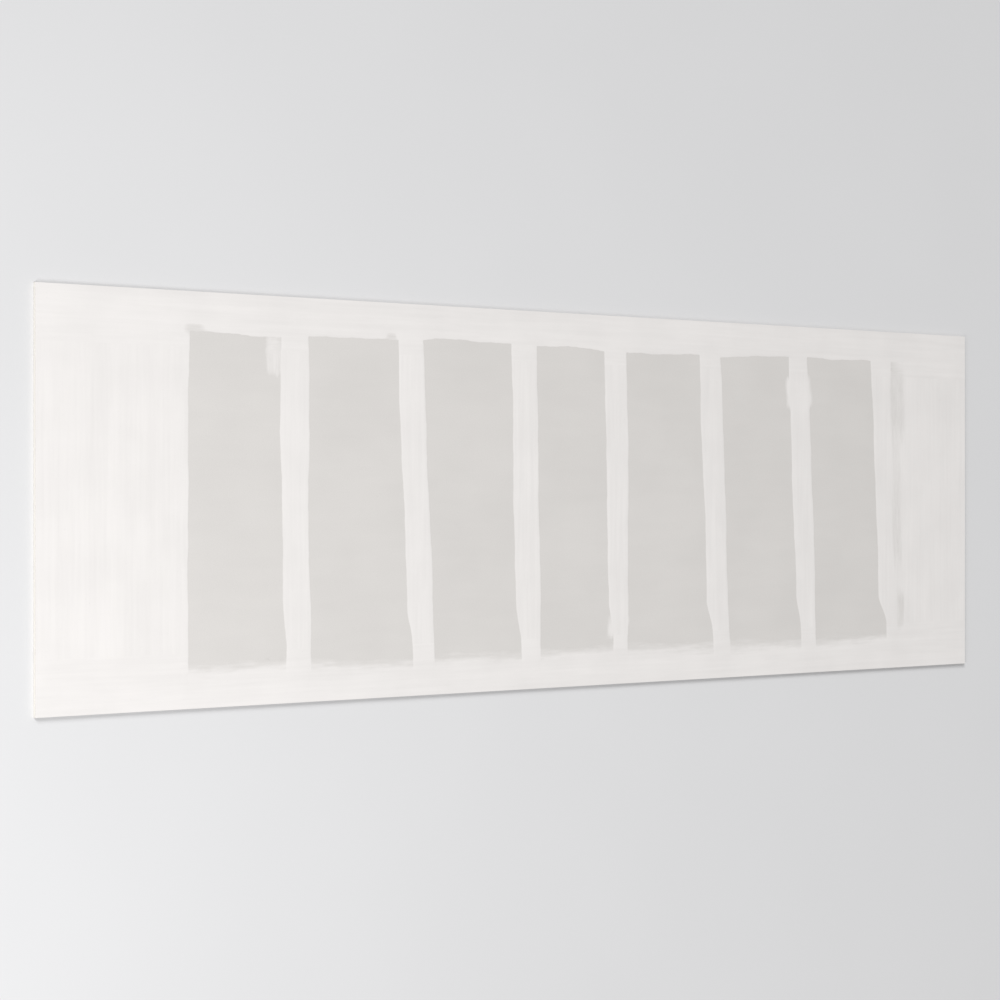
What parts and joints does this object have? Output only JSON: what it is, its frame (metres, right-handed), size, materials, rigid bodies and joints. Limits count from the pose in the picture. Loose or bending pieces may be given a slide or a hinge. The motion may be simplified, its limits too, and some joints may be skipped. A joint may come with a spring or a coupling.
{
  "type": "drywall sheet",
  "caption": "Flat rectangular gypsum board with paper-wrapped tapered long edges and square-cut ends, its pale grey face skimmed with joint compound in bands and strips.",
  "frame": {"origin": "middle of the back face, on the surface that the sheet lies on", "axes": "+X along the sheet's length, +Y across its width, +Z out of its face"},
  "size_m": [3.6576, 1.2192, 0.0127],
  "materials": {
    "board_paper": "matt unpainted face paper, warm pale grey",
    "joint_compound": "matt dried joint compound, trowelled, off-white"
  },
  "bodies": {
    "root": {"drywall_sheet": "board_paper"}
  },
  "joints": []
}
